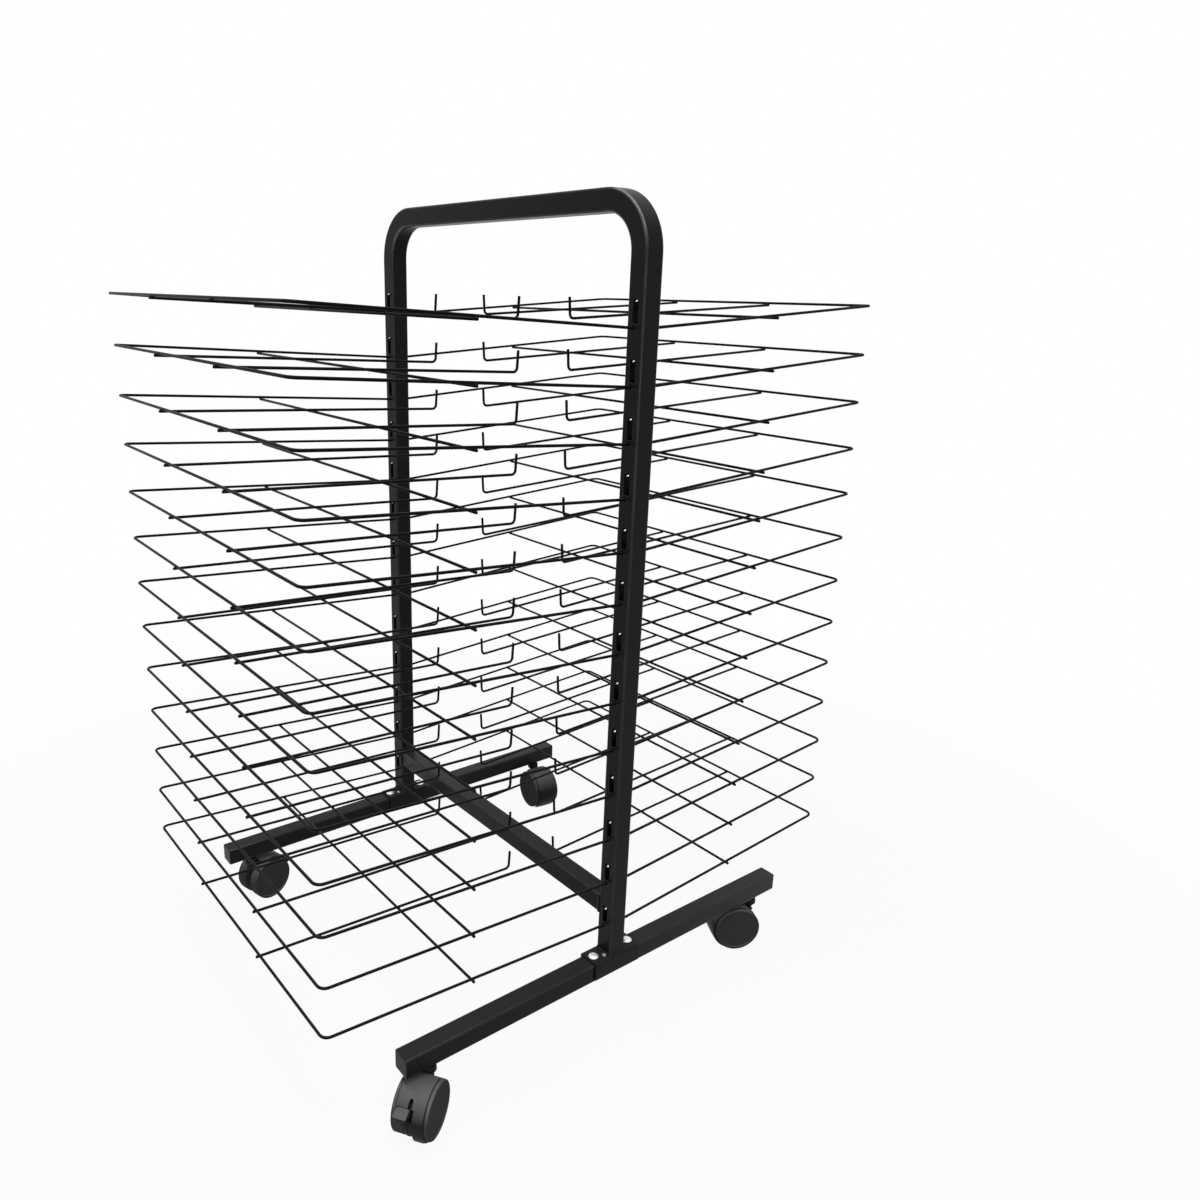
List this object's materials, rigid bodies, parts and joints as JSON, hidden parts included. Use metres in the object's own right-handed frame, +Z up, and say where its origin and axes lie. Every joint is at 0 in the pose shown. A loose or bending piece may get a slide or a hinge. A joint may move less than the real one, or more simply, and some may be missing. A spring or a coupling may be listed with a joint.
{
  "type": "art drying rack",
  "caption": "Free-standing drying rack for paintings: sloping wire shelves hinge on both sides of a bent square-tube hoop that rolls on twin-wheel casters.",
  "frame": {"origin": "on the floor, midway between the two uprights and between the two stacks of shelves", "axes": "+Z up, +X along the feet towards the right stack, +Y from the front upright to the back upright"},
  "size_m": [0.7202, 0.5343, 0.907],
  "materials": {
    "black_tube": "satin black powder coat",
    "black_wire": "satin black coating on wire",
    "hood_plastic": "charcoal moulded plastic",
    "wheel_plastic": "charcoal moulded plastic",
    "zinc": "bright zinc plate",
    "steel": "plain steel"
  },
  "bodies": {
    "frame": {"frame_hoop": "black_tube", "cross_rail": "black_tube", "front_foot": "black_tube", "front_saddle": "black_tube", "front_saddle_bolt_left": "zinc", "front_saddle_bolt_right": "zinc", "front_saddle_rivet": "steel", "back_foot": "black_tube", "back_saddle": "black_tube", "back_saddle_bolt_left": "zinc", "back_saddle_bolt_right": "zinc", "back_saddle_rivet": "steel", "front_left_stem": "steel", "front_right_stem": "steel", "back_left_stem": "steel", "back_right_stem": "steel"},
    "front_left_caster": {"front_left_hood": "hood_plastic", "front_left_axle": "steel"},
    "front_right_caster": {"front_right_hood": "hood_plastic", "front_right_axle": "steel"},
    "back_left_caster": {"back_left_hood": "hood_plastic", "back_left_axle": "steel"},
    "back_right_caster": {"back_right_hood": "hood_plastic", "back_right_axle": "steel"},
    "front_left_wheel_a": {"front_left_wheel_a": "wheel_plastic"},
    "front_left_wheel_b": {"front_left_wheel_b": "wheel_plastic"},
    "front_right_wheel_a": {"front_right_wheel_a": "wheel_plastic"},
    "front_right_wheel_b": {"front_right_wheel_b": "wheel_plastic"},
    "back_left_wheel_a": {"back_left_wheel_a": "wheel_plastic"},
    "back_left_wheel_b": {"back_left_wheel_b": "wheel_plastic"},
    "back_right_wheel_a": {"back_right_wheel_a": "wheel_plastic"},
    "back_right_wheel_b": {"back_right_wheel_b": "wheel_plastic"},
    "front_left_brake": {"front_left_brake_pedal": "hood_plastic"},
    "back_left_brake": {"back_left_brake_pedal": "hood_plastic"},
    "left_shelf_01": {"left_shelf_01": "black_wire"},
    "right_shelf_01": {"right_shelf_01": "black_wire"},
    "left_shelf_02": {"left_shelf_02": "black_wire"},
    "right_shelf_02": {"right_shelf_02": "black_wire"},
    "left_shelf_03": {"left_shelf_03": "black_wire"},
    "right_shelf_03": {"right_shelf_03": "black_wire"},
    "left_shelf_04": {"left_shelf_04": "black_wire"},
    "right_shelf_04": {"right_shelf_04": "black_wire"},
    "left_shelf_05": {"left_shelf_05": "black_wire"},
    "right_shelf_05": {"right_shelf_05": "black_wire"},
    "left_shelf_06": {"left_shelf_06": "black_wire"},
    "right_shelf_06": {"right_shelf_06": "black_wire"},
    "left_shelf_07": {"left_shelf_07": "black_wire"},
    "right_shelf_07": {"right_shelf_07": "black_wire"},
    "left_shelf_08": {"left_shelf_08": "black_wire"},
    "right_shelf_08": {"right_shelf_08": "black_wire"},
    "left_shelf_09": {"left_shelf_09": "black_wire"},
    "right_shelf_09": {"right_shelf_09": "black_wire"},
    "left_shelf_10": {"left_shelf_10": "black_wire"},
    "right_shelf_10": {"right_shelf_10": "black_wire"},
    "left_shelf_11": {"left_shelf_11": "black_wire"},
    "right_shelf_11": {"right_shelf_11": "black_wire"},
    "left_shelf_12": {"left_shelf_12": "black_wire"},
    "right_shelf_12": {"right_shelf_12": "black_wire"},
    "left_shelf_13": {"left_shelf_13": "black_wire"},
    "right_shelf_13": {"right_shelf_13": "black_wire"}
  },
  "joints": [
    {"name": "front_left_swivel", "type": "hinge", "parent": "frame", "child": "front_left_caster", "pos_m": [-0.2449, -0.23, 0.0635], "axis": [0, 0, 1], "continuous": true},
    {"name": "front_right_swivel", "type": "hinge", "parent": "frame", "child": "front_right_caster", "pos_m": [0.2449, -0.23, 0.0635], "axis": [0, 0, 1], "continuous": true},
    {"name": "back_left_swivel", "type": "hinge", "parent": "frame", "child": "back_left_caster", "pos_m": [-0.2449, 0.23, 0.0635], "axis": [0, 0, 1], "continuous": true},
    {"name": "back_right_swivel", "type": "hinge", "parent": "frame", "child": "back_right_caster", "pos_m": [0.2449, 0.23, 0.0635], "axis": [0, 0, 1], "continuous": true},
    {"name": "front_left_wheel_a_spin", "type": "hinge", "parent": "front_left_caster", "child": "front_left_wheel_a", "pos_m": [-0.26158, -0.24104, 0.029], "axis": [0.5519, -0.8339, 0], "continuous": true},
    {"name": "front_left_wheel_b_spin", "type": "hinge", "parent": "front_left_caster", "child": "front_left_wheel_b", "pos_m": [-0.26158, -0.24104, 0.029], "axis": [0.5519, -0.8339, 0], "continuous": true},
    {"name": "front_right_wheel_a_spin", "type": "hinge", "parent": "front_right_caster", "child": "front_right_wheel_a", "pos_m": [0.22724, -0.22061, 0.029], "axis": [-0.4695, -0.8829, 0], "continuous": true},
    {"name": "front_right_wheel_b_spin", "type": "hinge", "parent": "front_right_caster", "child": "front_right_wheel_b", "pos_m": [0.22724, -0.22061, 0.029], "axis": [-0.4695, -0.8829, 0], "continuous": true},
    {"name": "back_left_wheel_a_spin", "type": "hinge", "parent": "back_left_caster", "child": "back_left_wheel_a", "pos_m": [-0.22554, 0.23501, 0.029], "axis": [-0.2504, 0.9681, 0], "continuous": true},
    {"name": "back_left_wheel_b_spin", "type": "hinge", "parent": "back_left_caster", "child": "back_left_wheel_b", "pos_m": [-0.22554, 0.23501, 0.029], "axis": [-0.2504, 0.9681, 0], "continuous": true},
    {"name": "back_right_wheel_a_spin", "type": "hinge", "parent": "back_right_caster", "child": "back_right_wheel_a", "pos_m": [0.24212, 0.21019, 0.029], "axis": [0.9903, -0.1392, 0], "continuous": true},
    {"name": "back_right_wheel_b_spin", "type": "hinge", "parent": "back_right_caster", "child": "back_right_wheel_b", "pos_m": [0.24212, 0.21019, 0.029], "axis": [0.9903, -0.1392, 0], "continuous": true},
    {"name": "front_left_brake_press", "type": "hinge", "parent": "front_left_caster", "child": "front_left_brake", "pos_m": [-0.27614, -0.25068, 0.04473], "axis": [0.5519, -0.8339, 0], "range_deg": [0, 5]},
    {"name": "back_left_brake_press", "type": "hinge", "parent": "back_left_caster", "child": "back_left_brake", "pos_m": [-0.20863, 0.23938, 0.04473], "axis": [-0.2504, 0.9681, 0], "range_deg": [0, 5]},
    {"name": "left_shelf_01_lift", "type": "hinge", "parent": "frame", "child": "left_shelf_01", "pos_m": [-0.01025, 0.00195, 0.7795], "axis": [0, 1, 0], "range_deg": [0, 26]},
    {"name": "right_shelf_01_lift", "type": "hinge", "parent": "frame", "child": "right_shelf_01", "pos_m": [0.01025, -0.00195, 0.7795], "axis": [0, -1, 0], "range_deg": [0, 26]},
    {"name": "left_shelf_02_lift", "type": "hinge", "parent": "frame", "child": "left_shelf_02", "pos_m": [-0.01025, 0.00195, 0.725], "axis": [0, 1, 0], "range_deg": [0, 7.5]},
    {"name": "right_shelf_02_lift", "type": "hinge", "parent": "frame", "child": "right_shelf_02", "pos_m": [0.01025, -0.00195, 0.725], "axis": [0, -1, 0], "range_deg": [0, 7.5]},
    {"name": "left_shelf_03_lift", "type": "hinge", "parent": "frame", "child": "left_shelf_03", "pos_m": [-0.01025, 0.00195, 0.6705], "axis": [0, 1, 0], "range_deg": [0, 7.5]},
    {"name": "right_shelf_03_lift", "type": "hinge", "parent": "frame", "child": "right_shelf_03", "pos_m": [0.01025, -0.00195, 0.6705], "axis": [0, -1, 0], "range_deg": [0, 7.5]},
    {"name": "left_shelf_04_lift", "type": "hinge", "parent": "frame", "child": "left_shelf_04", "pos_m": [-0.01025, 0.00195, 0.616], "axis": [0, 1, 0], "range_deg": [0, 7.5]},
    {"name": "right_shelf_04_lift", "type": "hinge", "parent": "frame", "child": "right_shelf_04", "pos_m": [0.01025, -0.00195, 0.616], "axis": [0, -1, 0], "range_deg": [0, 7.5]},
    {"name": "left_shelf_05_lift", "type": "hinge", "parent": "frame", "child": "left_shelf_05", "pos_m": [-0.01025, 0.00195, 0.5615], "axis": [0, 1, 0], "range_deg": [0, 7.5]},
    {"name": "right_shelf_05_lift", "type": "hinge", "parent": "frame", "child": "right_shelf_05", "pos_m": [0.01025, -0.00195, 0.5615], "axis": [0, -1, 0], "range_deg": [0, 7.5]},
    {"name": "left_shelf_06_lift", "type": "hinge", "parent": "frame", "child": "left_shelf_06", "pos_m": [-0.01025, 0.00195, 0.507], "axis": [0, 1, 0], "range_deg": [0, 7.5]},
    {"name": "right_shelf_06_lift", "type": "hinge", "parent": "frame", "child": "right_shelf_06", "pos_m": [0.01025, -0.00195, 0.507], "axis": [0, -1, 0], "range_deg": [0, 7.5]},
    {"name": "left_shelf_07_lift", "type": "hinge", "parent": "frame", "child": "left_shelf_07", "pos_m": [-0.01025, 0.00195, 0.4525], "axis": [0, 1, 0], "range_deg": [0, 7.5]},
    {"name": "right_shelf_07_lift", "type": "hinge", "parent": "frame", "child": "right_shelf_07", "pos_m": [0.01025, -0.00195, 0.4525], "axis": [0, -1, 0], "range_deg": [0, 7.5]},
    {"name": "left_shelf_08_lift", "type": "hinge", "parent": "frame", "child": "left_shelf_08", "pos_m": [-0.01025, 0.00195, 0.398], "axis": [0, 1, 0], "range_deg": [0, 7.5]},
    {"name": "right_shelf_08_lift", "type": "hinge", "parent": "frame", "child": "right_shelf_08", "pos_m": [0.01025, -0.00195, 0.398], "axis": [0, -1, 0], "range_deg": [0, 7.5]},
    {"name": "left_shelf_09_lift", "type": "hinge", "parent": "frame", "child": "left_shelf_09", "pos_m": [-0.01025, 0.00195, 0.3435], "axis": [0, 1, 0], "range_deg": [0, 7.5]},
    {"name": "right_shelf_09_lift", "type": "hinge", "parent": "frame", "child": "right_shelf_09", "pos_m": [0.01025, -0.00195, 0.3435], "axis": [0, -1, 0], "range_deg": [0, 7.5]},
    {"name": "left_shelf_10_lift", "type": "hinge", "parent": "frame", "child": "left_shelf_10", "pos_m": [-0.01025, 0.00195, 0.289], "axis": [0, 1, 0], "range_deg": [0, 7.5]},
    {"name": "right_shelf_10_lift", "type": "hinge", "parent": "frame", "child": "right_shelf_10", "pos_m": [0.01025, -0.00195, 0.289], "axis": [0, -1, 0], "range_deg": [0, 7.5]},
    {"name": "left_shelf_11_lift", "type": "hinge", "parent": "frame", "child": "left_shelf_11", "pos_m": [-0.01025, 0.00195, 0.2345], "axis": [0, 1, 0], "range_deg": [0, 7.5]},
    {"name": "right_shelf_11_lift", "type": "hinge", "parent": "frame", "child": "right_shelf_11", "pos_m": [0.01025, -0.00195, 0.2345], "axis": [0, -1, 0], "range_deg": [0, 7.5]},
    {"name": "left_shelf_12_lift", "type": "hinge", "parent": "frame", "child": "left_shelf_12", "pos_m": [-0.01025, 0.00195, 0.18], "axis": [0, 1, 0], "range_deg": [0, 7.5]},
    {"name": "right_shelf_12_lift", "type": "hinge", "parent": "frame", "child": "right_shelf_12", "pos_m": [0.01025, -0.00195, 0.18], "axis": [0, -1, 0], "range_deg": [0, 7.5]},
    {"name": "left_shelf_13_lift", "type": "hinge", "parent": "frame", "child": "left_shelf_13", "pos_m": [-0.01025, 0.00195, 0.1255], "axis": [0, 1, 0], "range_deg": [0, 7.5]},
    {"name": "right_shelf_13_lift", "type": "hinge", "parent": "frame", "child": "right_shelf_13", "pos_m": [0.01025, -0.00195, 0.1255], "axis": [0, -1, 0], "range_deg": [0, 7.5]}
  ]
}
